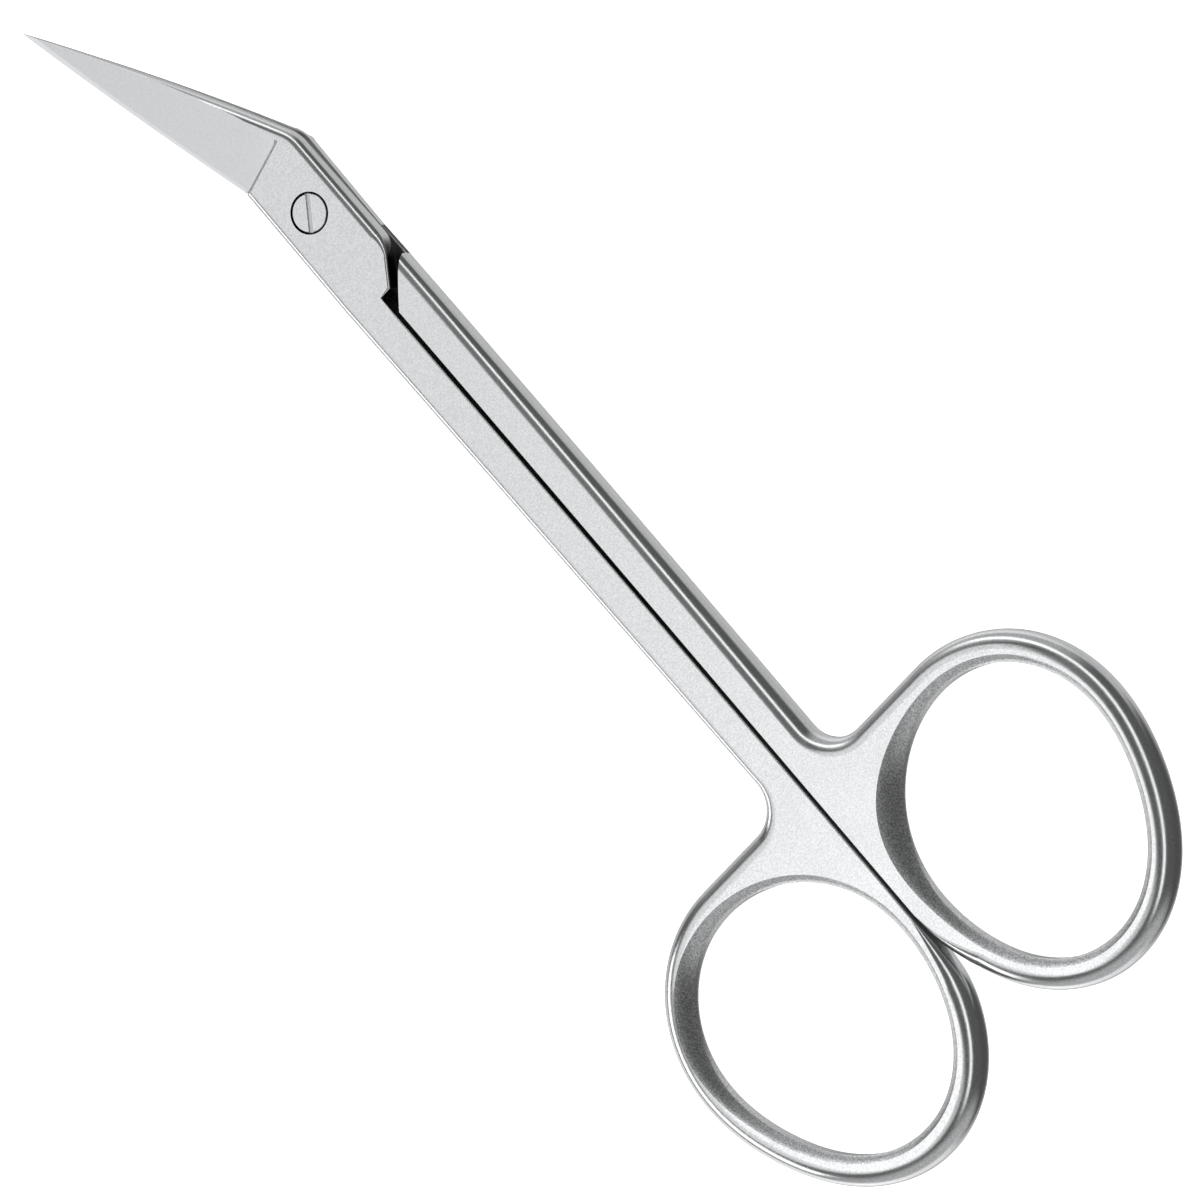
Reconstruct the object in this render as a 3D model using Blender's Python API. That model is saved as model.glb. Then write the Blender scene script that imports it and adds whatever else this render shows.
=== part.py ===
"""Toenail scissors: two steel halves that cross at a slotted pivot screw.

The scissors are closed and lie on the rear half's flat back. X runs from the pivot to
the finger rings, Y across the shanks towards the rear half's ring, and Z from the back
up to the front face. The front half turns about the screw, whose axis is Z.
"""

import math
from dataclasses import dataclass

import bmesh
import bpy
from mathutils import Matrix, Vector

MM = 0.001

# Levels through the thickness
FRONT_PLATE = 1.5 * MM
REAR_PLATE = 1.46 * MM
RIDE_GAP = 0.04 * MM
LEVEL_OFFSET = 0.3 * MM

# Pivot plates, measured from the pivot axis
FRONT_SPINE_SIDE = 3.3 * MM
FRONT_EDGE_SIDE = 3.22 * MM
REAR_EDGE_SIDE = 3.34 * MM
REAR_SPINE_SIDE = 3.4 * MM
WALL_START = 4.5 * MM
SHOULDER_START = 6.15 * MM
SHOULDER_END = 9.1 * MM
SHOULDER_RISE = 1.05 * MM
SHOULDER_FILLET = 3.0 * MM

# Step where each shank rises to its full thickness
STEP_OUTER = 7.6 * MM
STEP_INNER = 11.0 * MM
STEP_BOW = 0.08 * MM

# Blades, measured from the pivot axis
TIP_REACH = 28.45 * MM
TIP_DROP = 9.27 * MM
TIP_WIDTH = 0.14 * MM
TIP_LAG = 0.25 * MM
SPINE_BEND = 5.45 * MM
SPINE_BEND_FILLET = 4.0 * MM
SPINE_BOW = 0.3 * MM
HEEL_REACH = 5.5 * MM
HEEL_DROP = 3.56 * MM
HEEL_STEP = 1.0 * MM
EDGE_BOW = 0.14 * MM
BLADE_OVERHANG = 0.12 * MM

# Ground faces and cutting edges of the blades
GRIND_REACH = 6.1 * MM
GRIND_INSET = 1.45 * MM
GRIND_HEEL_REACH = 4.7 * MM
GRIND_LEAN = 0.5
GRIND_OVERRUN_SHARE = 0.5
HEEL_LAND = 0.4 * MM
TIP_LAND = 0.6 * MM
EDGE_LAND = 0.1 * MM
EDGE_ANGLE = 45.0
EDGE_HEIGHT = 0.8 * MM

# Shanks, measured from the parting line
PARTING_Y = 0.16 * MM
PARTING_RISE = 0.03 * MM
PARTING_DROP = 0.14 * MM
PARTING_BEND = 3
GAP_AT_JOINT = 0.21 * MM
GAP_AT_RINGS = 0.1 * MM
SHANK_FILLET = 2.9 * MM
FRONT_SHANK_AT_JOINT = 3.44 * MM
FRONT_SHANK_AT_RING = 2.78 * MM
FRONT_SHANK_BOW = 0.03 * MM
REAR_SHANK_AT_JOINT = 3.24 * MM
REAR_SHANK_AT_RING = 3.34 * MM
REAR_SHANK_BOW = 0.1 * MM

# Finger rings
FRONT_RING_X = 74.5 * MM
FRONT_RING_Y = 11.3 * MM
REAR_RING_X = 74.3 * MM
REAR_RING_Y = 12.18 * MM
RING_HALF_LENGTH = 11.6 * MM
RING_HALF_WIDTH = 9.75 * MM
RING_EGG = 0.24 * MM
RING_EGG_LOBES = 3
RING_TILT = -12.7
RING_BAND = 2.35 * MM
RING_BAND_GROWTH = 0.22 * MM
FRONT_RING_BLEND = 0.4 * MM
REAR_RING_BLEND = 0.05 * MM
REAR_RING_SHIFT_X = -0.1 * MM
REAR_RING_SHIFT_Y = -0.05 * MM

# Edge rounding
CRISP_EDGE = 0.04 * MM
GROOVE_EDGE = 0.12 * MM
SHOULDER_EDGE = 0.25 * MM
SPINE_EDGE = 0.85 * MM
FRONT_JOINT_EDGE = 0.78 * MM
FRONT_NECK_EDGE = 0.74 * MM
REAR_JOINT_EDGE = 1.0 * MM
REAR_NECK_EDGE = 1.5 * MM
BACK_EDGE = 1.0 * MM
RING_EDGE = 1.3 * MM
RING_RIM = 0.85 * MM
RING_BACK_EDGE = 1.1 * MM
GROOVE_END = 70.0 * MM
FRONT_WEB_RIM = 0.8 * MM
REAR_WEB_RIM = 1.45 * MM
WEB_DIRECTION = -125.0
SPINE_TAPER_SHARE = 0.2
MITRE_LIMIT = 0.3

# Pivot screw
HEAD_RADIUS = 1.56 * MM
HEAD_HEIGHT = 0.6 * MM
HEAD_CHAMFER = 0.05 * MM
HEAD_CLEARANCE = 0.06 * MM
SCREW_RADIUS = 1.0 * MM
RUNNING_CLEARANCE = 0.05 * MM
THREAD_CLEARANCE = 0.02 * MM
SLOT_LENGTH = 2.9 * MM
SLOT_WIDTH = 0.28 * MM
SLOT_DEPTH = 0.3 * MM
SLOT_ANGLE = -38.0

# How finely curves are cut
RING_POINTS = 72
RING_RAMP_POINTS = 6
EDGE_STEPS = 4
FILLET_STEPS = 6
SPINE_STEPS = 10
EDGE_LINE_STEPS = 6
SHANK_STEPS = 6
STEP_STEPS = 4
CIRCLE_POINTS = 48
SHARP_ANGLE = 35.0
PARTING_STEPS = 6

OVERRUN = 2.0 * MM

THICKNESS = FRONT_PLATE + RIDE_GAP + REAR_PLATE
CRISP = Vector((CRISP_EDGE, CRISP_EDGE))
GROOVE = Vector((GROOVE_EDGE, GROOVE_EDGE))
SPINE = Vector((SPINE_EDGE, SPINE_EDGE))
SHOULDER = Vector((SHOULDER_EDGE, SHOULDER_EDGE))
RING = Vector((RING_EDGE, RING_BACK_EDGE))

FRONT_TIP = Vector((-TIP_REACH, -TIP_DROP))
HEEL = Vector((-HEEL_REACH, -HEEL_DROP))


@dataclass(frozen=True)
class Half:
    """The sizes in which the two halves differ; side is the sign of its shank's Y."""

    name: str
    side: int
    bottom: float
    top: float
    face: float
    ride: float
    edge_side: float
    spine_side: float
    shank_at_joint: float
    shank_at_ring: float
    shank_bow: float
    joint_edge: Vector
    neck_edge: Vector
    ring_centre: Vector
    ring_shift: Vector
    ring_blend: float
    web_rim: float


FRONT = Half(
    "front_half", -1, LEVEL_OFFSET, THICKNESS, THICKNESS, THICKNESS - FRONT_PLATE,
    FRONT_EDGE_SIDE, FRONT_SPINE_SIDE, FRONT_SHANK_AT_JOINT, FRONT_SHANK_AT_RING,
    FRONT_SHANK_BOW, Vector((FRONT_JOINT_EDGE, BACK_EDGE)), Vector((FRONT_NECK_EDGE, BACK_EDGE)),
    Vector((FRONT_RING_X, FRONT_RING_Y)), Vector((0.0, 0.0)), FRONT_RING_BLEND, FRONT_WEB_RIM,
)
REAR = Half(
    "rear_half", 1, 0.0, THICKNESS - LEVEL_OFFSET, 0.0, REAR_PLATE,
    REAR_EDGE_SIDE, REAR_SPINE_SIDE, REAR_SHANK_AT_JOINT, REAR_SHANK_AT_RING,
    REAR_SHANK_BOW, Vector((REAR_JOINT_EDGE, BACK_EDGE)), Vector((REAR_NECK_EDGE, BACK_EDGE)),
    Vector((REAR_RING_X, REAR_RING_Y)), Vector((REAR_RING_SHIFT_X, REAR_RING_SHIFT_Y)),
    REAR_RING_BLEND, REAR_WEB_RIM,
)


def clear_scene():
    """Remove every object of the startup scene."""
    for obj in list(bpy.data.objects):
        bpy.data.objects.remove(obj, do_unlink=True)


def stack(name, loops):
    """A closed solid whose wall runs through loops of points, one above the other."""
    bm = bmesh.new()
    rows = [[bm.verts.new(point) for point in loop] for loop in loops]
    bm.faces.new(rows[0])
    bm.faces.new(rows[-1])
    for low, high in zip(rows, rows[1:]):
        for number in range(len(low)):
            bm.faces.new((low[number - 1], low[number], high[number], high[number - 1]))
    bmesh.ops.recalc_face_normals(bm, faces=bm.faces)
    mesh = bpy.data.meshes.new(name)
    bm.to_mesh(mesh)
    bm.free()
    obj = bpy.data.objects.new(name, mesh)
    bpy.context.collection.objects.link(obj)
    return obj


def cut(target, cutters):
    """Subtract the cutters from the target, then remove them."""
    for cutter in cutters:
        cutter.hide_render = True
        modifier = target.modifiers.new(cutter.name, "BOOLEAN")
        modifier.operation = "DIFFERENCE"
        modifier.solver = "EXACT"
        modifier.object = cutter
    bpy.context.view_layer.update()
    graph = bpy.context.evaluated_depsgraph_get()
    mesh = bpy.data.meshes.new_from_object(target.evaluated_get(graph))
    target.modifiers.clear()
    target.data = mesh
    for cutter in cutters:
        bpy.data.objects.remove(cutter, do_unlink=True)


def finish(obj, material):
    """Give the piece its material and smooth shading between its sharp edges."""
    obj.data.materials.clear()
    obj.data.materials.append(material)
    obj.data.shade_smooth()
    obj.data.set_sharp_from_angle(angle=math.radians(SHARP_ANGLE))


def steel(name, color, roughness):
    """A stainless steel material of one colour and roughness."""
    material = bpy.data.materials.new(name)
    material.use_nodes = True
    surface = material.node_tree.nodes["Principled BSDF"]
    surface.inputs["Base Color"].default_value = color
    surface.inputs["Metallic"].default_value = 1.0
    surface.inputs["Roughness"].default_value = roughness
    return material


def fillet(before, corner, after, radius):
    """Points of the arc that rounds the corner between two straight lines."""
    back = (before - corner).normalized()
    ahead = (after - corner).normalized()
    half_angle = back.angle(ahead) / 2
    centre = corner + (back + ahead).normalized() * (radius / math.sin(half_angle))
    spoke = corner + back * (radius / math.tan(half_angle)) - centre
    sweep = math.copysign(math.pi - 2 * half_angle, -back.cross(ahead))
    turns = [sweep * step / FILLET_STEPS for step in range(FILLET_STEPS + 1)]
    return [centre + Matrix.Rotation(turn, 2) @ spoke for turn in turns]


def bowed(start, end, bow, steps):
    """Points from start to end along a shallow curve that swells by bow to the right."""
    along = end - start
    right = Vector((along.y, -along.x)).normalized()
    shares = [step / steps for step in range(steps + 1)]
    return [start + along * share + right * (4 * bow * share * (1 - share)) for share in shares]


def stretch(points, start, end):
    """Stations along the points, with edge rounding that changes evenly from start to end."""
    last = max(len(points) - 1, 1)
    return [(point, start.lerp(end, number / last)) for number, point in enumerate(points)]


def outward(points):
    """Mitred outward directions at the points of a closed loop that runs anticlockwise."""
    found = []
    for number, point in enumerate(points):
        coming = (point - points[number - 1]).normalized()
        going = (points[(number + 1) % len(points)] - point).normalized()
        first = Vector((coming.y, -coming.x))
        second = Vector((going.y, -going.x))
        middle = (first + second).normalized()
        found.append(middle / max(middle.dot(first), MITRE_LIMIT))
    return found


def at_level(points, z):
    """The flat points raised to one level."""
    return [(point.x, point.y, z) for point in points]


def rounded_loops(stations, bottom, top, inset):
    """Loops up a wall whose edges turn in by quarter rounds, or flare out if inset is -1."""
    points = [point for point, _ in stations]
    ways = [way * -inset for way in outward(points)]
    quarter = [math.pi / 2 * step / EDGE_STEPS for step in range(EDGE_STEPS + 1)]
    loops = []
    for angle in quarter:
        loops.append([
            (*(point + way * edge.y * (1 - math.sin(angle))), bottom + edge.y * (1 - math.cos(angle)))
            for (point, edge), way in zip(stations, ways)
        ])
    for angle in reversed(quarter):
        loops.append([
            (*(point + way * edge.x * (1 - math.sin(angle))), top - edge.x * (1 - math.cos(angle)))
            for (point, edge), way in zip(stations, ways)
        ])
    return loops


def parting_edge(half, x):
    """Distance from the parting line to the shank's inner edge, which bends at the joint."""
    share = min(max((x - STEP_INNER) / (FRONT_RING_X - STEP_INNER), 0.0), 1.0)
    bend = PARTING_RISE - PARTING_DROP * (1 - share) ** PARTING_BEND
    return (GAP_AT_JOINT + (GAP_AT_RINGS - GAP_AT_JOINT) * share) / 2 + half.side * bend


def ring_hole(half):
    """Points of the finger hole, anticlockwise, as distances from the parting line."""
    tilt = Matrix.Rotation(math.radians(RING_TILT), 2)
    points = []
    for number in range(RING_POINTS):
        angle = 2 * math.pi * number / RING_POINTS
        oval = tilt @ Vector((RING_HALF_LENGTH * math.cos(angle), RING_HALF_WIDTH * math.sin(angle)))
        polar = math.atan2(oval.y, oval.x)
        egg = oval.normalized() * (RING_EGG * math.cos(RING_EGG_LOBES * polar))
        points.append(half.ring_centre + oval + egg)
    return points


def shank_and_ring(half):
    """Stations along the parting edge, round the ring and back along the outer wall.

    They are distances from the parting line and run anticlockwise.
    """
    hole = ring_hole(half)
    outer = []
    for point, way in zip(hole, outward(hole)):
        band = RING_BAND + RING_BAND_GROWTH * way.x ** 2
        outer.append(point + half.ring_shift + way * band)
    lowest = outer.index(min(outer, key=lambda point: point.y))
    outer = outer[lowest:] + outer[:lowest]
    leftmost = outer.index(min(outer, key=lambda point: point.x))
    rounds = []
    for point in outer[:leftmost + 1]:
        gap_edge = parting_edge(half, point.x)
        beyond = math.hypot(point.y - gap_edge, half.ring_blend)
        rounds.append(Vector((point.x, (point.y + gap_edge + beyond) / 2)))
    run = GROOVE_END - STEP_INNER
    places = [STEP_INNER + run * step / PARTING_STEPS for step in range(PARTING_STEPS + 1)]
    inner = [Vector((x, parting_edge(half, x))) for x in places]
    corner = Vector((rounds[-1].x, half.shank_at_ring))
    joint_end = Vector((STEP_OUTER, half.shank_at_joint))
    wall = bowed(corner, joint_end, half.shank_bow, SHANK_STEPS)
    neck = fillet(rounds[-1], corner, wall[1], SHANK_FILLET)
    return (
        stretch(inner, GROOVE, GROOVE)
        + stretch(rounds[:RING_RAMP_POINTS], GROOVE, RING)
        + stretch(rounds[RING_RAMP_POINTS:], RING, RING)
        + stretch(neck, RING, half.neck_edge)
        + stretch(wall[1:], half.neck_edge, half.joint_edge)
    )


def own_side(half):
    """The shank and ring on their own side of the parting line, still anticlockwise."""
    stations = [
        (Vector((point.x, PARTING_Y + half.side * point.y)), edge)
        for point, edge in shank_and_ring(half)
    ]
    return stations[::half.side]


def shoulder(half):
    """Stations of the plate's shoulder on the far side, from its wall to the parting line."""
    width = -half.side * half.spine_side
    wall = Vector((0.0, width))
    corner = Vector((SHOULDER_START, width))
    end = Vector((SHOULDER_END, -half.side * SHOULDER_RISE))
    arc = fillet(wall, corner, end, SHOULDER_FILLET)
    notch = Vector((SHOULDER_END, PARTING_Y + half.side * parting_edge(half, SHOULDER_END)))
    return stretch(arc, SPINE, SHOULDER) + stretch([end], SHOULDER, CRISP) + stretch([notch], CRISP, CRISP)


def tip_corners(half):
    """The upper and lower corners of the blade's blunt tip."""
    lag = TIP_LAG if half is REAR else 0.0
    back = (HEEL - FRONT_TIP).normalized() * lag
    half_width = Vector((0.0, TIP_WIDTH / 2))
    return FRONT_TIP + back + half_width, FRONT_TIP + back - half_width


def upper_line(half):
    """The bent line along the top of the blade, from the plate to the tip."""
    inset = BLADE_OVERHANG if half is REAR else 0.0
    bend = Vector((-SPINE_BEND, FRONT_SPINE_SIDE - inset))
    tip = tip_corners(half)[0]
    line = bowed(bend, tip, SPINE_BOW, SPINE_STEPS)
    return fillet(Vector((0.0, bend.y)), bend, line[1], SPINE_BEND_FILLET) + line[1:]


def lower_line(half):
    """The shallow curve along the bottom of the blade, from the tip to the plate."""
    tip = tip_corners(half)[1]
    if half is FRONT:
        wall = Vector((HEEL_STEP - HEEL_REACH, -half.edge_side))
        return bowed(tip, HEEL, EDGE_BOW, EDGE_LINE_STEPS) + [wall]
    corner = HEEL + Vector((0.0, BLADE_OVERHANG))
    wall = Vector((HEEL_STEP - HEEL_REACH, -half.spine_side))
    return bowed(tip, corner, EDGE_BOW, EDGE_LINE_STEPS) + [wall]


def spine_stations(half, points):
    """Stations along a blade's spine, its rounding narrowing towards the tip."""
    tip = tip_corners(half)[0]
    stations = []
    for point in points:
        edge = min(SPINE_EDGE, CRISP_EDGE + (point - tip).length * SPINE_TAPER_SHARE)
        stations.append((point, Vector((edge, edge))))
    return stations


def front_outline():
    """The front half's outline: spine above, cutting edge below."""
    return (
        own_side(FRONT)
        + shoulder(FRONT)[::-1]
        + spine_stations(FRONT, upper_line(FRONT))
        + stretch(lower_line(FRONT)[:-1], CRISP, CRISP)
        + stretch(lower_line(FRONT)[-1:], FRONT.joint_edge, FRONT.joint_edge)
    )


def rear_outline():
    """The rear half's outline: cutting edge above, spine below."""
    wall = Vector((WALL_START, REAR.edge_side))
    return (
        own_side(REAR)
        + stretch([wall], REAR.joint_edge, REAR.joint_edge)
        + stretch(upper_line(REAR)[:FILLET_STEPS], REAR.joint_edge, CRISP)
        + stretch(upper_line(REAR)[FILLET_STEPS:], CRISP, CRISP)
        + spine_stations(REAR, lower_line(REAR))
        + shoulder(REAR)
    )


def finger_cutter(half):
    """The finger hole with its flared rims, widest on the web towards the shank."""
    web_way = Matrix.Rotation(math.radians(WEB_DIRECTION), 2) @ Vector((1.0, 0.0))
    stations = []
    for point in ring_hole(half):
        nearness = max((point - half.ring_centre).normalized().dot(web_way), 0.0) ** 2
        front_rim = RING_RIM + (half.web_rim - RING_RIM) * nearness
        stations.append((point, Vector((front_rim, RING_BACK_EDGE))))
    placed = [
        (Vector((point.x, PARTING_Y + half.side * point.y)), edge) for point, edge in stations
    ]
    loops = rounded_loops(placed[::half.side], half.bottom, half.top, -1)
    first = [(x, y, z - OVERRUN) for x, y, z in loops[0]]
    last = [(x, y, z + OVERRUN) for x, y, z in loops[-1]]
    return stack("finger_cutter", [first] + loops + [last])


def step_cutter(half):
    """Everything that the pivot plate lacks, bounded by the step across the shank."""
    inner = Vector((STEP_INNER, parting_edge(half, STEP_INNER)))
    outer = Vector((STEP_OUTER, half.shank_at_joint))
    run = (inner - outer).normalized() * OVERRUN
    far = TIP_REACH + OVERRUN
    reach = TIP_DROP + OVERRUN
    line = bowed(inner, outer, -STEP_BOW, STEP_STEPS)
    corners = [Vector((-far, reach)), Vector((-far, -reach)), Vector((inner.x + OVERRUN, -reach))]
    shape = [inner + run] + line + [outer - run] + corners
    placed = [Vector((point.x, PARTING_Y + half.side * point.y)) for point in shape]
    outside = half.bottom - OVERRUN if half is FRONT else half.top + OVERRUN
    return stack("step_cutter", [at_level(placed, outside), at_level(placed, half.ride)])


def grind_cutter(half):
    """The wedge ground off the blade's outer face, with a leaning wall across its root."""
    up = -half.side
    tip = tip_corners(half)[0]
    if half is FRONT:
        heel = HEEL
        root = Vector((-GRIND_REACH, FRONT_SPINE_SIDE - GRIND_INSET))
    else:
        heel = upper_line(half)[FILLET_STEPS]
        root = Vector((-GRIND_REACH, GRIND_INSET - HEEL_DROP))
    foot = Vector((-GRIND_HEEL_REACH, heel.y))
    high = Vector((root.x, root.y, half.face))
    across = Vector((heel.x, heel.y, half.ride + up * HEEL_LAND)) - high
    along = Vector((tip.x, tip.y, half.ride + up * TIP_LAND)) - high
    normal = across.cross(along)
    slope = Vector((-normal.x / normal.z, -normal.y / normal.z))
    line = foot - root
    lean = Vector((line.y, -line.x)).normalized() * (up * GRIND_LEAN)
    beyond = line * GRIND_OVERRUN_SHARE
    low_loop = []
    high_loop = []
    for start in (foot + beyond, root - beyond):
        depth = up * (half.face - high.z - slope.dot(start - root)) / (1 + up * slope.dot(lean))
        low = start + lean * depth
        low_loop.append(Vector((low.x, low.y, half.face - up * depth)))
        top = start - lean * OVERRUN
        high_loop.append(Vector((top.x, top.y, half.face + up * OVERRUN)))
    away = (tip - heel) * (1 + GRIND_OVERRUN_SHARE)
    for low in low_loop[::-1]:
        end = Vector((low.x, low.y)) + away
        low_loop.append(Vector((end.x, end.y, high.z + slope.dot(end - root))))
        high_loop.append(Vector((end.x, end.y, half.face + up * OVERRUN)))
    return stack("grind_cutter", [low_loop, high_loop])


def edge_cutter(half):
    """The narrow bevel along the cutting edge, from the heel past the tip."""
    up = -half.side
    if half is FRONT:
        line = lower_line(half)[-2::-1]
    else:
        line = upper_line(half)[FILLET_STEPS:]
    line.append(line[-1] + (line[-1] - line[-2]).normalized() * OVERRUN)
    run = EDGE_HEIGHT / math.tan(math.radians(EDGE_ANGLE))
    base = half.ride + up * EDGE_LAND
    loops = []
    for number, point in enumerate(line):
        before = line[max(number - 1, 0)]
        after = line[min(number + 1, len(line) - 1)]
        along = (after - before).normalized()
        inward = Vector((along.y, -along.x)) * half.side * -1
        outer = point - inward * run
        inner = point + inward * run
        loops.append([
            (outer.x, outer.y, base - up * EDGE_HEIGHT),
            (inner.x, inner.y, base + up * EDGE_HEIGHT),
            (outer.x, outer.y, base + up * EDGE_HEIGHT),
        ])
    return stack("edge_cutter", loops)


def circle(radius, z):
    """Points of a level circle about the pivot axis."""
    turns = [2 * math.pi * number / CIRCLE_POINTS for number in range(CIRCLE_POINTS)]
    return [(radius * math.cos(turn), radius * math.sin(turn), z) for turn in turns]


def bore(radius, bottom, top):
    """A round cutter about the pivot axis."""
    return stack("bore", [circle(radius, bottom), circle(radius, top)])


def front_half(material):
    """The half on top, whose plate holds the screw's head."""
    obj = stack(FRONT.name, rounded_loops(front_outline(), FRONT.bottom, FRONT.top, 1))
    seat = THICKNESS - HEAD_HEIGHT - RIDE_GAP
    cut(obj, [finger_cutter(FRONT), step_cutter(FRONT)])
    cut(obj, [grind_cutter(FRONT), edge_cutter(FRONT)])
    cut(obj, [
        bore(SCREW_RADIUS + RUNNING_CLEARANCE, -OVERRUN, THICKNESS + OVERRUN),
        bore(HEAD_RADIUS + HEAD_CLEARANCE, seat, THICKNESS + OVERRUN),
    ])
    finish(obj, material)
    return obj


def rear_half(material):
    """The half below, whose plate holds the screw's end."""
    obj = stack(REAR.name, rounded_loops(rear_outline(), REAR.bottom, REAR.top, 1))
    cut(obj, [finger_cutter(REAR), step_cutter(REAR)])
    cut(obj, [grind_cutter(REAR), edge_cutter(REAR)])
    cut(obj, [bore(SCREW_RADIUS + THREAD_CLEARANCE, -OVERRUN, THICKNESS + OVERRUN)])
    finish(obj, material)
    return obj


def pivot_screw(material):
    """The screw, flush with both faces, with a slot across its head."""
    seat = THICKNESS - HEAD_HEIGHT
    obj = stack("pivot_screw", [
        circle(SCREW_RADIUS, 0.0),
        circle(SCREW_RADIUS, seat),
        circle(HEAD_RADIUS, seat),
        circle(HEAD_RADIUS, THICKNESS - HEAD_CHAMFER),
        circle(HEAD_RADIUS - HEAD_CHAMFER, THICKNESS),
    ])
    turn = Matrix.Rotation(math.radians(SLOT_ANGLE), 2)
    half_length, half_width = SLOT_LENGTH / 2, SLOT_WIDTH / 2
    corners = [
        turn @ Vector((x, y))
        for x, y in (
            (-half_length, -half_width), (half_length, -half_width),
            (half_length, half_width), (-half_length, half_width),
        )
    ]
    slot = stack("slot", [
        at_level(corners, THICKNESS - SLOT_DEPTH), at_level(corners, THICKNESS + OVERRUN),
    ])
    cut(obj, [slot])
    finish(obj, material)
    return obj


def main():
    """Build the scissors closed, with every origin on the pivot axis."""
    clear_scene()
    front_half(steel("polished_front", (0.62, 0.62, 0.63, 1.0), 0.22))
    rear_half(steel("polished_rear", (0.6, 0.6, 0.61, 1.0), 0.22))
    pivot_screw(steel("screw_steel", (0.56, 0.56, 0.57, 1.0), 0.3))


main()
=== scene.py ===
"""Toenail scissors in satin steel, lying closed on a white studio table.

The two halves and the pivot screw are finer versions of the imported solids: the same
outlines with closely cut curves, so that light runs unbroken along the rounded edges.
Sizes are in millimetres and turn to metres where a mesh is made.
"""

import logging
import math
from dataclasses import dataclass
from enum import Enum

import bmesh
import bpy
from mathutils import Matrix, Vector


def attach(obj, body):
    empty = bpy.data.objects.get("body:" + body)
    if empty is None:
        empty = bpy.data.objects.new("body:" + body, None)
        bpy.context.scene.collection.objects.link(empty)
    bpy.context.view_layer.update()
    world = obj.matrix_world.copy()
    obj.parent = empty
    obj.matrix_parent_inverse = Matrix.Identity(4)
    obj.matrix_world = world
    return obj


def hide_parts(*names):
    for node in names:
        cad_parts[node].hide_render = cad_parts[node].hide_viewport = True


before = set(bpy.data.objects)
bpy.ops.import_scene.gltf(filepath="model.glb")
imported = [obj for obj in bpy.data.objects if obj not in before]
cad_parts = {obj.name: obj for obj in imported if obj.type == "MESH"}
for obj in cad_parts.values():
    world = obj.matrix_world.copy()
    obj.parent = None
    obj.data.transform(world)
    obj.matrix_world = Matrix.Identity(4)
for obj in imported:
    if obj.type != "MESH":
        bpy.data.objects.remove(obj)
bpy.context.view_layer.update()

LOG = logging.getLogger("toenail_scissors")
MM = 0.001


class Side(Enum):
    """Which half a shape belongs to; the value is the sign of that half's shank along Y."""

    FRONT = -1
    REAR = 1


class Grain(Enum):
    """How a steel surface was worked: how its pattern is squeezed along X, Y and Z."""

    BLASTED = (1.0, 1.0, 1.0)
    BRUSHED_ACROSS = (1.0, 0.5, 1.0)
    GROUND_ALONG = (0.4, 1.0, 1.0)


@dataclass(frozen=True)
class Rounding:
    """Widths of the front and back edges at one point of an outline, in millimetres.

    The front edge falls by its width times fall; the back edge is a quarter round.
    """

    front: float
    back: float
    fall: float = 0.72

    def blend(self, other: "Rounding", share: float) -> "Rounding":
        """Mix this rounding with another.

        Args:
            other: The rounding reached at a share of 1.
            share: How far from this rounding to the other.

        Returns:
            The rounding in between.
        """
        return Rounding(
            self.front + (other.front - self.front) * share,
            self.back + (other.back - self.back) * share,
            self.fall + (other.fall - self.fall) * share,
        )


@dataclass(frozen=True)
class Station:
    """One point of an outline and the rounding of its edges there."""

    point: Vector
    rounding: Rounding


@dataclass(frozen=True)
class Smoothness:
    """How finely curves are cut, and the angle in degrees from which an edge stays sharp."""

    ring_points: int = 216
    ramp_points: int = 18
    parting_steps: int = 12
    edge_steps: int = 10
    fillet_steps: int = 14
    spine_steps: int = 24
    shank_steps: int = 12
    step_steps: int = 8
    circle_points: int = 96
    sharp_angle: float = 32.0


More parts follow.
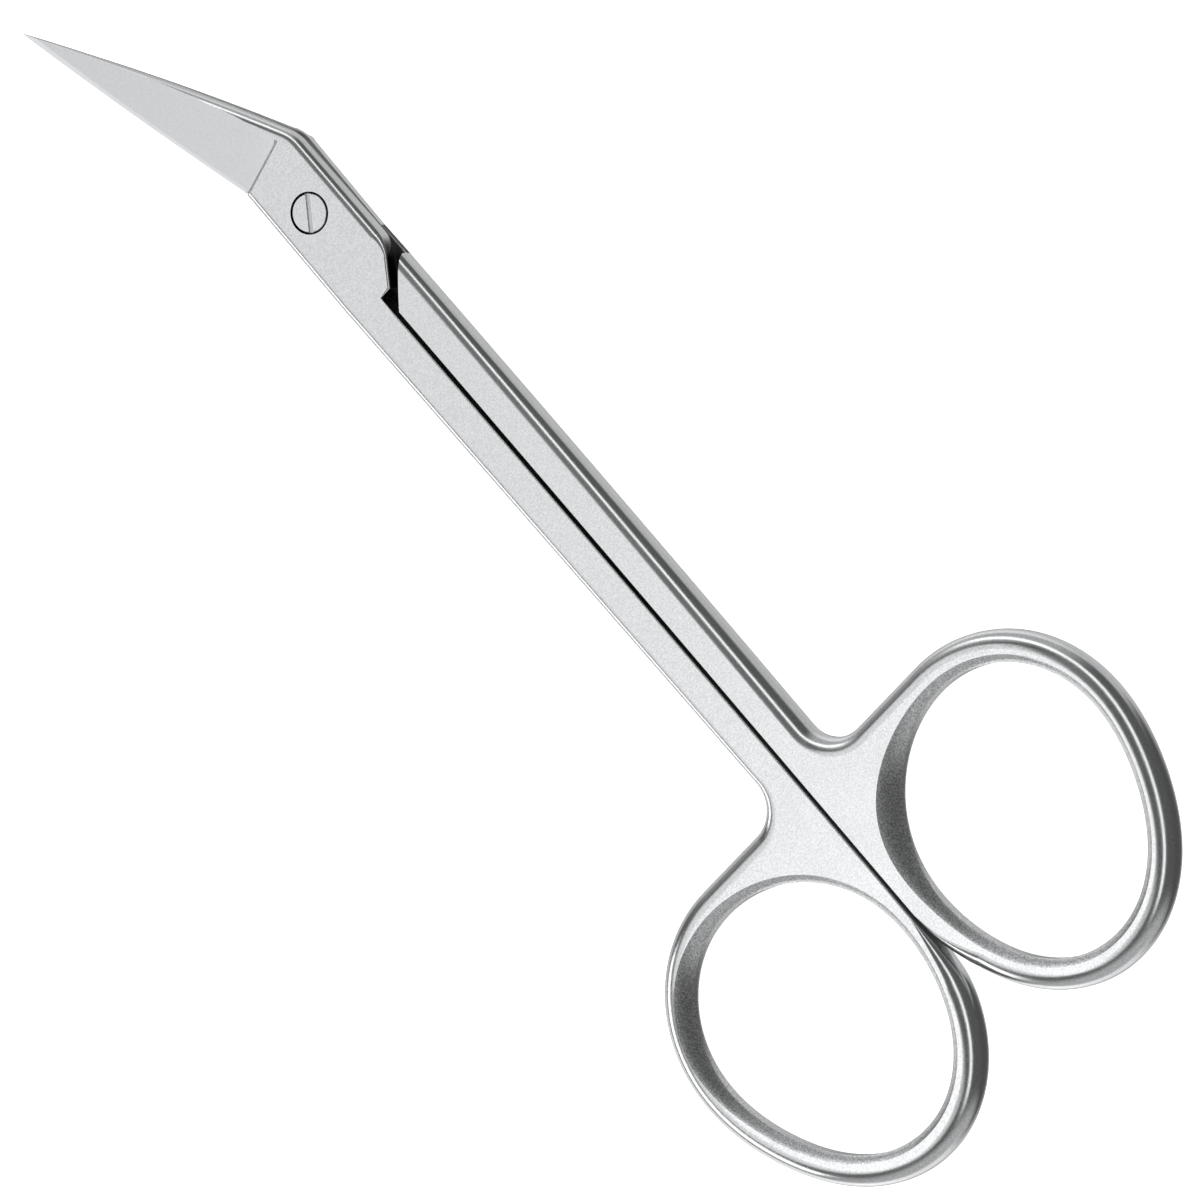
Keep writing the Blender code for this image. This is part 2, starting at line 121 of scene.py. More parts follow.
@dataclass(frozen=True)
class Scissors:
    """Sizes that both halves share, in millimetres from the pivot axis."""

    front_plate: float = 1.5
    rear_plate: float = 1.46
    ride_gap: float = 0.04
    level_offset: float = 0.3
    wall_start: float = 4.5
    shoulder_start: float = 6.15
    shoulder_end: float = 9.1
    tongue_end: float = 10.4
    shoulder_rise: float = 1.05
    shoulder_fillet: float = 3.0
    step_outer: float = 7.6
    step_inner: float = 11.0
    step_bow: float = 0.08
    tip_reach: float = 28.45
    tip_drop: float = 9.27
    tip_width: float = 0.14
    tip_lag: float = 0.25
    spine_bend: float = 5.45
    spine_height: float = 3.3
    spine_bend_fillet: float = 4.0
    spine_bow: float = 0.3
    heel_reach: float = 5.5
    heel_drop: float = 3.56
    heel_step: float = 0.3
    edge_bow: float = 0.14
    blade_overhang: float = 0.12
    parting_y: float = 0.16
    parting_rise: float = 0.03
    parting_drop: float = 0.14
    parting_bend: int = 3
    groove_end: float = 70.0
    gap_at_joint: float = 0.21
    gap_at_rings: float = 0.1
    gap_end: float = 74.5
    shank_fillet: float = 2.9
    ring_half_length: float = 11.6
    ring_half_width: float = 9.75
    ring_egg: float = 0.24
    ring_egg_lobes: int = 3
    ring_tilt: float = -12.7
    ring_band: float = 2.35
    ring_band_growth: float = 0.22
    rim_direction: float = -130.0
    rim_focus: int = 6
    rim_straightness: float = 0.75
    crisp: Rounding = Rounding(0.04, 0.04)
    groove: Rounding = Rounding(0.12, 0.12)
    spine: Rounding = Rounding(0.85, 0.85)
    shoulder: Rounding = Rounding(0.25, 0.25)
    ring: Rounding = Rounding(1.5, 1.1, 0.85)
    ring_rim: Rounding = Rounding(0.66, 1.0, 1.0)
    spine_taper: float = 0.2
    mitre_limit: float = 0.3
    overrun: float = 2.0

    @property
    def thickness(self) -> float:
        """The whole height of the closed scissors."""
        return self.front_plate + self.ride_gap + self.rear_plate

    @property
    def tip(self) -> Vector:
        """The middle of the front blade's blunt tip."""
        return Vector((-self.tip_reach, -self.tip_drop))

    @property
    def heel(self) -> Vector:
        """The corner at which the front blade's cutting edge starts."""
        return Vector((-self.heel_reach, -self.heel_drop))


SIZES = Scissors()
CUTS = Smoothness()


def linear(hex_color: str) -> tuple[float, float, float, float]:
    """Turn an sRGB hex colour to linear light.

    Args:
        hex_color: Six hex digits.

    Returns:
        Red, green, blue and an alpha of 1.
    """
    channels = [int(hex_color[start:start + 2], 16) / 255 for start in (0, 2, 4)]
    red, green, blue = (
        value / 12.92 if value <= 0.04045 else ((value + 0.055) / 1.055) ** 2.4
        for value in channels
    )
    return red, green, blue, 1.0


def add_node(
    tree: bpy.types.NodeTree,
    kind: str,
    settings: dict[str, object] | None = None,
    values: dict[str | int, object] | None = None,
    links: dict[str | int, bpy.types.NodeSocket] | None = None,
) -> bpy.types.Node:
    """Add one node to a tree.

    Args:
        tree: The tree that takes the node.
        kind: The node's Blender type.
        settings: Properties of the node itself.
        values: Constants for its inputs.
        links: Outputs of other nodes that feed its inputs.

    Returns:
        The new node.
    """
    node = tree.nodes.new(kind)
    for name, value in (settings or {}).items():
        setattr(node, name, value)
    for name, value in (values or {}).items():
        node.inputs[name].default_value = value
    for name, socket in (links or {}).items():
        tree.links.new(socket, node.inputs[name])
    return node


@dataclass(frozen=True)
class SteelFinish:
    """Martensitic stainless steel with a fine worked skin.

    The eye gets soft silver reflections, broken up by tiny strokes. Real strokes are a
    few hundredths of a millimetre wide, too fine to show, so they are drawn coarser.
    Wear brightens the steel near edges, where a softened normal leaves the face's own by
    the cosines wear_start to wear_end. Along X, between two given places, the colour turns to
    a second one: painted shade that grows or fades along the scissors.
    """

    name: str
    light_color: str = "C8C9CA"
    dark_color: str = "B7B8B9"
    worn_color: str = "D2D3D4"
    wear_width_mm: float = 0.12
    wear_start: float = 0.99
    wear_end: float = 0.9
    wear_samples: int = 4
    painted_shading_color: str = "141414"
    painted_shading_start_mm: float = 200.0
    painted_shading_end_mm: float = 201.0
    roughness: float = 0.2
    roughness_swing: float = 0.02
    grain: Grain = Grain.BRUSHED_ACROSS
    stroke_mm: float = 0.08
    stroke_detail: float = 1.0
    stroke_span: tuple[float, float] = (0.35, 0.65)
    stroke_depth_mm: float = 0.0015
    cloud_mm: float = 4.0
    cloud_detail: float = 2.0
    cloud_span: tuple[float, float] = (0.3, 0.7)

    def color(
        self,
        tree: bpy.types.NodeTree,
        place: bpy.types.NodeSocket,
        strokes: bpy.types.NodeSocket,
    ) -> bpy.types.NodeSocket:
        """Colour the strokes, then the painted shade along X, then the edges that wear rubs bright.

        Args:
            tree: The material's node tree.
            place: Object coordinates.
            strokes: The pattern of strokes.

        Returns:
            The colour.
        """
        tone = add_node(tree, "ShaderNodeValToRGB", links={"Fac": strokes})
        shades = (self.dark_color, self.light_color)
        for element, position, shade in zip(tone.color_ramp.elements, self.stroke_span, shades):
            element.position = position
            element.color = linear(shade)
        axes = add_node(tree, "ShaderNodeSeparateXYZ", links={"Vector": place})
        # Painted shade, mixed in along X between two given places.
        painted_shading_mask = add_node(
            tree, "ShaderNodeMapRange",
            values={"From Min": self.painted_shading_start_mm * MM, "From Max": self.painted_shading_end_mm * MM},
            links={"Value": axes.outputs["X"]},
        )
        painted_shading_mix = add_node(
            tree, "ShaderNodeMixRGB",
            values={"Color2": linear(self.painted_shading_color)},
            links={"Fac": painted_shading_mask.outputs["Result"], "Color1": tone.outputs["Color"]},
        )
        facing = add_node(tree, "ShaderNodeNewGeometry")
        softened = add_node(
            tree, "ShaderNodeBevel", {"samples": self.wear_samples},
            values={"Radius": self.wear_width_mm * MM},
        )
        likeness = add_node(
            tree, "ShaderNodeVectorMath", {"operation": "DOT_PRODUCT"},
            links={0: facing.outputs["Normal"], 1: softened.outputs["Normal"]},
        )
        wear = add_node(
            tree, "ShaderNodeMapRange",
            values={"From Min": self.wear_start, "From Max": self.wear_end},
            links={"Value": likeness.outputs["Value"]},
        )
        worn = add_node(
            tree, "ShaderNodeMixRGB",
            values={"Color2": linear(self.worn_color)},
            links={"Fac": wear.outputs["Result"], "Color1": painted_shading_mix.outputs["Color"]},
        )
        return worn.outputs["Color"]

    def make(self) -> bpy.types.Material:
        """Build the material.

        Returns:
            The finished material.
        """
        material = bpy.data.materials.new(self.name)
        material.use_nodes = True
        tree = material.node_tree
        place = add_node(tree, "ShaderNodeTexCoord").outputs["Object"]
        squeezed = add_node(
            tree, "ShaderNodeMapping",
            values={"Scale": self.grain.value}, links={"Vector": place},
        )
        strokes = add_node(
            tree, "ShaderNodeTexNoise",
            values={"Scale": 1 / (self.stroke_mm * MM), "Detail": self.stroke_detail},
            links={"Vector": squeezed.outputs["Vector"]},
        ).outputs["Fac"]
        clouds = add_node(
            tree, "ShaderNodeTexNoise",
            values={"Scale": 1 / (self.cloud_mm * MM), "Detail": self.cloud_detail},
            links={"Vector": place},
        )
        rough = add_node(
            tree, "ShaderNodeMapRange",
            values={
                "From Min": self.cloud_span[0], "From Max": self.cloud_span[1],
                "To Min": self.roughness - self.roughness_swing,
                "To Max": self.roughness + self.roughness_swing,
            },
            links={"Value": clouds.outputs["Fac"]},
        )
        bump = add_node(
            tree, "ShaderNodeBump",
            values={"Strength": 1.0, "Distance": self.stroke_depth_mm * MM},
            links={"Height": strokes},
        )
        shader = tree.nodes["Principled BSDF"]
        shader.inputs["Metallic"].default_value = 1.0
        tree.links.new(self.color(tree, place, strokes), shader.inputs["Base Color"])
        tree.links.new(rough.outputs["Result"], shader.inputs["Roughness"])
        tree.links.new(bump.outputs["Normal"], shader.inputs["Normal"])
        return material


def fillet(before: Vector, corner: Vector, after: Vector, radius: float) -> list[Vector]:
    """Round the corner between two straight lines.

    Args:
        before: A point on the line that comes in.
        corner: Where the lines meet.
        after: A point on the line that goes out.
        radius: Radius of the arc.

    Returns:
        Points of the arc.
    """
    back = (before - corner).normalized()
    ahead = (after - corner).normalized()
    half_angle = back.angle(ahead) / 2
    centre = corner + (back + ahead).normalized() * (radius / math.sin(half_angle))
    spoke = corner + back * (radius / math.tan(half_angle)) - centre
    sweep = math.copysign(math.pi - 2 * half_angle, -back.cross(ahead))
    count = CUTS.fillet_steps
    return [centre + Matrix.Rotation(sweep * step / count, 2) @ spoke for step in range(count + 1)]


def bowed(start: Vector, end: Vector, bow: float, steps: int) -> list[Vector]:
    """Draw a shallow curve between two points.

    Args:
        start: First point.
        end: Last point.
        bow: How far the middle swells to the right of the way along.
        steps: Number of stretches.

    Returns:
        Points of the curve.
    """
    along = end - start
    right = Vector((along.y, -along.x)).normalized()
    shares = [step / steps for step in range(steps + 1)]
    return [start + along * share + right * (4 * bow * share * (1 - share)) for share in shares]


def stretch(points: list[Vector], start: Rounding, end: Rounding) -> list[Station]:
    """Give points a rounding that changes evenly along them.

    Args:
        points: The points in order.
        start: Rounding at the first point.
        end: Rounding at the last point.

    Returns:
        The stations.
    """
    last = max(len(points) - 1, 1)
    return [Station(point, start.blend(end, number / last)) for number, point in enumerate(points)]


def outward(points: list[Vector]) -> list[Vector]:
    """Find the way out of a closed anticlockwise loop at each of its points.

    Args:
        points: The loop.

    Returns:
        One direction a point, lengthened where the loop turns sharply.
    """
    found = []
    for number, point in enumerate(points):
        coming = (point - points[number - 1]).normalized()
        going = (points[(number + 1) % len(points)] - point).normalized()
        first = Vector((coming.y, -coming.x))
        second = Vector((going.y, -going.x))
        middle = (first + second).normalized()
        found.append(middle / max(middle.dot(first), SIZES.mitre_limit))
    return found


def raised(name: str, loops: list[list[Vector]]) -> bpy.types.Object:
    """Extrude the rim of a face up through loops of points.

    Args:
        name: Name of the object.
        loops: Equal-sized loops in millimetres, each one above the last.

    Returns:
        The closed solid as an object.
    """
    bm = bmesh.new()
    rim = [bm.verts.new(point * MM) for point in loops[0]]
    edges = list(bm.faces.new(rim).edges)
    for loop in loops[1:]:
        made = set(bmesh.ops.extrude_edge_only(bm, edges=edges)["geom"])
        edges = [part for part in made if isinstance(part, bmesh.types.BMEdge)]
        edges = [edge for edge in edges if made.issuperset(edge.verts)]
        risen = [{edge.other_vert(vert) for edge in vert.link_edges} & made for vert in rim]
        rim = [verts.pop() for verts in risen]
        for vert, point in zip(rim, loop):
            vert.co = point * MM
    bm.faces.new(rim)
    bmesh.ops.recalc_face_normals(bm, faces=bm.faces)
    mesh = bpy.data.meshes.new(name)
    bm.to_mesh(mesh)
    bm.free()
    piece = bpy.data.objects.new(name, mesh)
    bpy.context.scene.collection.objects.link(piece)
    return piece


def at_level(points: list[Vector], z: float) -> list[Vector]:
    """Raise flat points to one level."""
    return [Vector((point.x, point.y, z)) for point in points]


def rounded_loops(
    stations: list[Station], bottom: float, top: float, inset: int, straightness: float
) -> list[list[Vector]]:
    """Draw the loops of a wall with rounded edges.

    Args:
        stations: The outline.
        bottom: Level of the back.
        top: Level of the front.
        inset: 1 for edges that turn in, -1 for edges that flare out.
        straightness: 0 for front edges that are round, 1 for straight bevels.

    Returns:
        The loops from bottom to top.
    """
    ways = [way * -inset for way in outward([station.point for station in stations])]
    quarter = [math.pi / 2 * step / CUTS.edge_steps for step in range(CUTS.edge_steps + 1)]
    loops = []
    for angle in quarter:
        loops.append([])
        for station, way in zip(stations, ways):
            radius = station.rounding.back
            point = station.point + way * radius * (1 - math.sin(angle))
            loops[-1].append(Vector((*point, bottom + radius * (1 - math.cos(angle)))))
    for angle in reversed(quarter):
        loops.append([])
        for station, way in zip(stations, ways):
            share = angle / (math.pi / 2)
            out = (1 - straightness) * (1 - math.sin(angle)) + straightness * (1 - share)
            down = (1 - straightness) * (1 - math.cos(angle)) + straightness * share
            width = station.rounding.front
            point = station.point + way * width * out
            loops[-1].append(Vector((*point, top - width * station.rounding.fall * down)))
    return loops


def carve(piece: bpy.types.Object, cutters: list[bpy.types.Object]) -> None:
    """Cut shapes out of a piece, whose new faces take the cutter's finish.

    Args:
        piece: The piece to cut.
        cutters: The shapes, which are used up.
    """
    for cutter in cutters:
        modifier = piece.modifiers.new(cutter.name, "BOOLEAN")
        modifier.operation = "DIFFERENCE"
        modifier.solver = "EXACT"
        modifier.material_mode = "TRANSFER"
        modifier.object = cutter
    bpy.context.view_layer.update()
    graph = bpy.context.evaluated_depsgraph_get()
    mesh = bpy.data.meshes.new_from_object(piece.evaluated_get(graph))
    piece.modifiers.clear()
    piece.data = mesh
    for cutter in cutters:
        bpy.data.objects.remove(cutter, do_unlink=True)


def dress(piece: bpy.types.Object, body: str, node: str) -> None:
    """Shade a finished piece and let it stand for its CAD node.

    Args:
        piece: The finished piece.
        body: The CAD body that it rides on.
        node: The CAD node that it replaces.
    """
    piece.data.shade_smooth()
    piece.data.set_sharp_from_angle(angle=math.radians(CUTS.sharp_angle))
    weighted = piece.modifiers.new("even_flats", "WEIGHTED_NORMAL")
    weighted.keep_sharp = True
    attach(piece, body)
    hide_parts(node)
    LOG.info("%s: %d faces", piece.name, len(piece.data.polygons))


@dataclass
class Half:
    """One forged half of the scissors, from blade tip to finger ring, in millimetres.

    Bottom and top are the shank's levels, face is the level of the blade's outer side, and
    ride is the level on which the halves slide. Some lengths bound the walls that get
    painted shade: in the gaps between the halves, at the blade's root and in the shoulder's recess.
    """

    side: Side
    name: str
    bottom: float
    top: float
    face: float
    ride: float
    edge_side: float
    spine_side: float
    shank_at_joint: float
    shank_at_ring: float
    shank_bow: float
    joint_edge: Rounding
    neck_edge: Rounding
    ring_x: float
    ring_y: float
    ring_shift: tuple[float, float]
    ring_blend: float
    wide_rim: float
    tip_lag: float
    inset: float
    edge_out: float
    grind_reach: float = 6.1
    grind_inset: float = 1.45
    grind_heel_reach: float = 4.7
    grind_lean: float = 0.5
    grind_overrun: float = 0.5
    root_line_width: float = 0.34
    root_line_depth: float = 0.12
    heel_land: float = 0.4
    tip_land: float = 0.6
    edge_land: float = 0.1
    edge_height: float = 0.8
    shaded_gap_reach: float = 0.3
    shaded_gap_end: float = 77.0
    shaded_plate_y: float = 2.4
    shaded_plate_start: float = 2.0
    shaded_plate_end: float = 7.0
    shaded_shoulder_start: float = 4.6
    shaded_shoulder_end: float = 9.2
    shaded_wall_steepness: float = 0.3
    # The brushed skin gives soft silver bands that follow every rounded edge.
    polish: SteelFinish = SteelFinish("satin_brushed_stainless")
    # The lapped faces keep the steel's colour near the screw and turn dark grey towards the notch:
    # painted shade for the deep recess.
    ride_finish: SteelFinish = SteelFinish(
        "lapped_stainless_painted_notch_shade", painted_shading_color="404042",
        painted_shading_start_mm=2.4, painted_shading_end_mm=4.8,
    )
    # The walls between the shanks, rough and blasted, get painted shade: a dark line that fades out
    # towards the rings.
    parting_painted_shade: SteelFinish = SteelFinish(
        "blasted_stainless_painted_gap_shade", light_color="505051", dark_color="3C3C3D", roughness=0.45,
        grain=Grain.BLASTED, painted_shading_color="C2C3C4", painted_shading_start_mm=40.0, painted_shading_end_mm=76.0,
    )
    # The shoulder's end turns from silver to black: painted shade for the joint's recess.
    shoulder_painted_shade: SteelFinish = SteelFinish(
        "brushed_stainless_painted_shoulder_shade", painted_shading_start_mm=5.6, painted_shading_end_mm=7.2,
    )
    # The wheel's last mark parts the blade from the plate with a fine line.
    line_finish: SteelFinish = SteelFinish(
        "coarse_wheel_mark_stainless", light_color="DEDFE0", dark_color="A8A9AA", roughness=0.55,
        grain=Grain.BLASTED,
    )
    # The ground blade is flatter and more even than the brushed skin.
    ground: SteelFinish = SteelFinish(
        "fine_ground_stainless", grain=Grain.GROUND_ALONG, roughness=0.3,
        light_color="CCCDCF", dark_color="C3C4C6", stroke_depth_mm=0.001,
    )
    # The finger holes' scoops are matt and grainy.
    bowl_finish: SteelFinish = SteelFinish(
        "bead_blasted_stainless", grain=Grain.BLASTED, roughness=0.3, stroke_mm=0.12,
        stroke_depth_mm=0.005, light_color="D6D7D8", dark_color="9C9D9E",
    )
    # The screw's bores get near-black painted shade, so that the gaps round the screw show as black
    # rings.
    seat_painted_shade: SteelFinish = SteelFinish(
        "blasted_stainless_painted_bore_shade", grain=Grain.BLASTED, roughness=0.5,
        light_color="0E0E0E", dark_color="060606",
    )

    @property
    def sign(self) -> int:
        """The sign of the shank's side along Y."""
        return self.side.value

    @property
    def up(self) -> int:
        """The sign of Z from the ride plane to the blade's outer face."""
        return -self.sign

    def across(self, point: Vector) -> Vector:
        """Move a point given from the parting line to its place.

        Args:
            point: Distance along X, and distance from the parting line.

        Returns:
            The point in the scissors' frame.
        """
        return Vector((point.x, SIZES.parting_y + self.sign * point.y))

    def parting_edge(self, x: float) -> float:
        """Find how far the shank's inner edge lies from the parting line.

        Args:
            x: Place along the shank.

        Returns:
            The distance.
        """
        share = (x - SIZES.step_inner) / (SIZES.gap_end - SIZES.step_inner)
        share = min(max(share, 0.0), 1.0)
        gap = SIZES.gap_at_joint + (SIZES.gap_at_rings - SIZES.gap_at_joint) * share
        bend = SIZES.parting_rise - SIZES.parting_drop * (1 - share) ** SIZES.parting_bend
        return gap / 2 + self.sign * bend

    def finger_hole(self) -> list[Vector]:
        """Draw the finger hole, an oval slightly pointed at its far end.

        Returns:
            Anticlockwise points as distances from the parting line.
        """
        tilt = Matrix.Rotation(math.radians(SIZES.ring_tilt), 2)
        centre = Vector((self.ring_x, self.ring_y))
        points = []
        for number in range(CUTS.ring_points):
            angle = 2 * math.pi * number / CUTS.ring_points
            oval = tilt @ Vector((
                SIZES.ring_half_length * math.cos(angle),
                SIZES.ring_half_width * math.sin(angle),
            ))
            polar = math.atan2(oval.y, oval.x)
            egg = oval.normalized() * (SIZES.ring_egg * math.cos(SIZES.ring_egg_lobes * polar))
            points.append(centre + oval + egg)
        return points

    def shank_and_ring(self) -> list[Station]:
        """Draw the parting edge, the ring's outside and the shank's outer wall.

        Returns:
            Anticlockwise stations as distances from the parting line.
        """
        hole = self.finger_hole()
        shift = Vector(self.ring_shift)
        outer = []
        for point, way in zip(hole, outward(hole)):
            band = SIZES.ring_band + SIZES.ring_band_growth * way.x ** 2
            outer.append(point + shift + way * band)
        lowest = outer.index(min(outer, key=lambda point: point.y))
        outer = outer[lowest:] + outer[:lowest]
        leftmost = outer.index(min(outer, key=lambda point: point.x))
        rounds = []
        for point in outer[:leftmost + 1]:
            gap_edge = self.parting_edge(point.x)
            beyond = math.hypot(point.y - gap_edge, self.ring_blend)
            rounds.append(Vector((point.x, (point.y + gap_edge + beyond) / 2)))
        run = SIZES.groove_end - SIZES.step_inner
        steps = CUTS.parting_steps
        places = [SIZES.step_inner + run * step / steps for step in range(steps + 1)]
        inner = [Vector((x, self.parting_edge(x))) for x in places]
        corner = Vector((rounds[-1].x, self.shank_at_ring))
        joint_end = Vector((SIZES.step_outer, self.shank_at_joint))
        wall = bowed(corner, joint_end, self.shank_bow, CUTS.shank_steps)
        neck = fillet(rounds[-1], corner, wall[1], SIZES.shank_fillet)
        ramp = CUTS.ramp_points
        return (
            stretch(inner, SIZES.groove, SIZES.groove)
            + stretch(rounds[:ramp], SIZES.groove, SIZES.ring)
            + stretch(rounds[ramp:], SIZES.ring, SIZES.ring)
            + stretch(neck, SIZES.ring, self.neck_edge)
            + stretch(wall[1:], self.neck_edge, self.joint_edge)
        )

    def own_side(self) -> list[Station]:
        """Place the shank and ring on their own side of the parting line.

        Returns:
            Anticlockwise stations.
        """
        placed = [Station(self.across(each.point), each.rounding) for each in self.shank_and_ring()]
        return placed[::self.sign]

    def shoulder(self) -> list[Station]:
        """Draw the plate's shoulder on the far side, from its wall to the parting line.

        Returns:
            The stations.
        """
        width = -self.sign * self.spine_side
        corner = Vector((SIZES.shoulder_start, width))
        end = Vector((SIZES.shoulder_end, -self.sign * SIZES.shoulder_rise))
        arc = fillet(Vector((0.0, width)), corner, end, SIZES.shoulder_fillet)
        reach = SIZES.shoulder_end if self.side is Side.FRONT else SIZES.tongue_end
        notch = self.across(Vector((reach, self.parting_edge(reach))))
        return (
            stretch(arc, SIZES.spine, SIZES.shoulder)
            + stretch([end], SIZES.shoulder, SIZES.shoulder)
            + stretch([notch], SIZES.crisp, SIZES.crisp)
        )

    def tip_corners(self) -> tuple[Vector, Vector]:
        """Find the corners of the blade's blunt tip.

        Returns:
            The upper and the lower corner.
        """
        back = (SIZES.heel - SIZES.tip).normalized() * self.tip_lag
        half_width = Vector((0.0, SIZES.tip_width / 2))
        return SIZES.tip + back + half_width, SIZES.tip + back - half_width

    def upper_line(self) -> list[Vector]:
        """Draw the bent line along the top of the blade.

        Returns:
            Points from the plate to the tip.
        """
        bend = Vector((-SIZES.spine_bend, SIZES.spine_height - self.inset + self.edge_out))
        line = bowed(bend, self.tip_corners()[0], SIZES.spine_bow, CUTS.spine_steps)
        arc = fillet(Vector((0.0, bend.y)), bend, line[2], SIZES.spine_bend_fillet)
        return arc + line[2:]

    def lower_line(self) -> list[Vector]:
        """Draw the shallow curve along the bottom of the blade.

        Returns:
            Points from the tip to the plate.
        """
        corner = SIZES.heel + Vector((0.0, self.inset))
        line = bowed(self.tip_corners()[1], corner, SIZES.edge_bow, CUTS.spine_steps)
        wall = self.edge_side if self.side is Side.FRONT else self.spine_side
        return line + [Vector((SIZES.heel_step - SIZES.heel_reach, -wall))]

    def spine_stations(self, points: list[Vector]) -> list[Station]:
        """Round a blade's spine, less and less towards the tip.

        Args:
            points: Points of the spine.

        Returns:
            The stations.
        """
        tip = self.tip_corners()[0]
        stations = []
        for point in points:
            taper = SIZES.crisp.front + (point - tip).length * SIZES.spine_taper
            radius = min(SIZES.spine.front, taper)
            stations.append(Station(point, Rounding(radius, radius)))
        return stations

    def outline(self) -> list[Station]:
        """Draw the whole half, anticlockwise.

        Returns:
            The stations.
        """
        crisp, joint = SIZES.crisp, self.joint_edge
        if self.side is Side.FRONT:
            return (
                self.own_side()
                + self.shoulder()[::-1]
                + self.spine_stations(self.upper_line())
                + stretch(self.lower_line()[:-1], crisp, crisp)
                + stretch(self.lower_line()[-1:], joint, joint)
            )
        upper = self.upper_line()
        arc = CUTS.fillet_steps
        return (
            self.own_side()
            + stretch([Vector((SIZES.wall_start, self.edge_side))], joint, joint)
            + stretch(upper[:arc], joint, crisp)
            + stretch(upper[arc:], crisp, crisp)
            + self.spine_stations(self.lower_line())
            + self.shoulder()
        )

    def finger_cutter(self) -> bpy.types.Object:
        """Make the finger hole's cutter, whose rim flares most at the back left.

        Returns:
            The cutter.
        """
        centre = Vector((self.ring_x, self.ring_y))
        turn = math.radians(self.sign * SIZES.rim_direction)
        wide_way = Matrix.Rotation(turn, 2) @ Vector((1.0, 0.0))
        stations = []
        for point in self.finger_hole():
            nearness = max((point - centre).normalized().dot(wide_way), 0.0) ** SIZES.rim_focus
            wide = Rounding(self.wide_rim, SIZES.ring_rim.back, SIZES.ring_rim.fall)
            stations.append(Station(self.across(point), SIZES.ring_rim.blend(wide, nearness)))
        loops = rounded_loops(
            stations[::self.sign], self.bottom, self.top, -1, SIZES.rim_straightness
        )
        lift = Vector((0.0, 0.0, SIZES.overrun))
        first = [point - lift for point in loops[0]]
        last = [point + lift for point in loops[-1]]
        return raised("finger_cutter", [first] + loops + [last])

    def step_cutter(self) -> bpy.types.Object:
        """Make the cutter that leaves the pivot plate and blade at half thickness.

        Returns:
            The cutter.
        """
        inner = Vector((SIZES.step_inner, self.parting_edge(SIZES.step_inner)))
        outer = Vector((SIZES.step_outer, self.shank_at_joint))
        run = (inner - outer).normalized() * SIZES.overrun
        far = SIZES.tip_reach + SIZES.overrun
        reach = SIZES.tip_drop + SIZES.overrun
        line = bowed(inner, outer, -SIZES.step_bow, CUTS.step_steps)
        corners = [(-far, reach), (-far, -reach), (inner.x + SIZES.overrun, -reach)]
        shape = [inner + run] + line + [outer - run] + [Vector(corner) for corner in corners]
        placed = [self.across(point) for point in shape]
        beyond = self.bottom if self.side is Side.FRONT else self.top
        beyond -= self.up * SIZES.overrun
        return raised("step_cutter", [at_level(placed, beyond), at_level(placed, self.ride)])

    def grind_cutter(self) -> bpy.types.Object:
        """Make the wedge ground off the blade's outer face.

        Returns:
            The cutter, whose wall leans across the blade's root.
        """
        up = self.up
        tip = self.tip_corners()[0]
        if self.side is Side.FRONT:
            heel = SIZES.heel
            root = Vector((-self.grind_reach, SIZES.spine_height - self.grind_inset))
        else:
            heel = self.upper_line()[CUTS.fillet_steps]
            root = Vector((-self.grind_reach, self.grind_inset - SIZES.heel_drop))
        foot = Vector((-self.grind_heel_reach, heel.y))
        high = Vector((*root, self.face))
        to_heel = Vector((*heel, self.ride + up * self.heel_land)) - high
        to_tip = Vector((*tip, self.ride + up * self.tip_land)) - high
        normal = to_heel.cross(to_tip)
        slope = Vector((-normal.x / normal.z, -normal.y / normal.z))
        line = foot - root
        lean = Vector((line.y, -line.x)).normalized() * (up * self.grind_lean)
        low_loop = []
        high_loop = []
        for start in (foot + line * self.grind_overrun, root - line * self.grind_overrun):
            depth = -up * slope.dot(start - root) / (1 + up * slope.dot(lean))
            low_loop.append(Vector((*(start + lean * depth), self.face - up * depth)))
            top = start - lean * SIZES.overrun
            high_loop.append(Vector((*top, self.face + up * SIZES.overrun)))
        away = (tip - heel) * (1 + self.grind_overrun)
        for low in low_loop[::-1]:
            end = low.xy + away
            low_loop.append(Vector((*end, self.face + slope.dot(end - root))))
            high_loop.append(Vector((*end, self.face + up * SIZES.overrun)))
        return raised("grind_cutter", [low_loop, high_loop])

    def root_cutter(self) -> bpy.types.Object:
        """Make the cutter of the fine line that the grinding wheel leaves at the blade's root.

        Returns:
            The cutter, a thin wedge across the face.
        """
        up = self.up
        root = Vector((-self.grind_reach, self.sign * (self.grind_inset - SIZES.spine_height)))
        foot = Vector((-self.grind_heel_reach, self.sign * SIZES.heel_drop))
        line = foot - root
        away = Vector((line.y, -line.x)).normalized() * (-self.sign * up)
        loops = []
        for place in (foot + line * self.grind_overrun, root):
            outer, inner = place - away * self.root_line_width, place + away * self.root_line_width
            loops.append([
                Vector((*outer, self.face + up * self.root_line_depth)),
                Vector((*place, self.face - up * self.root_line_depth)),
                Vector((*inner, self.face + up * self.root_line_depth)),
            ])
        return raised("root_cutter", loops)

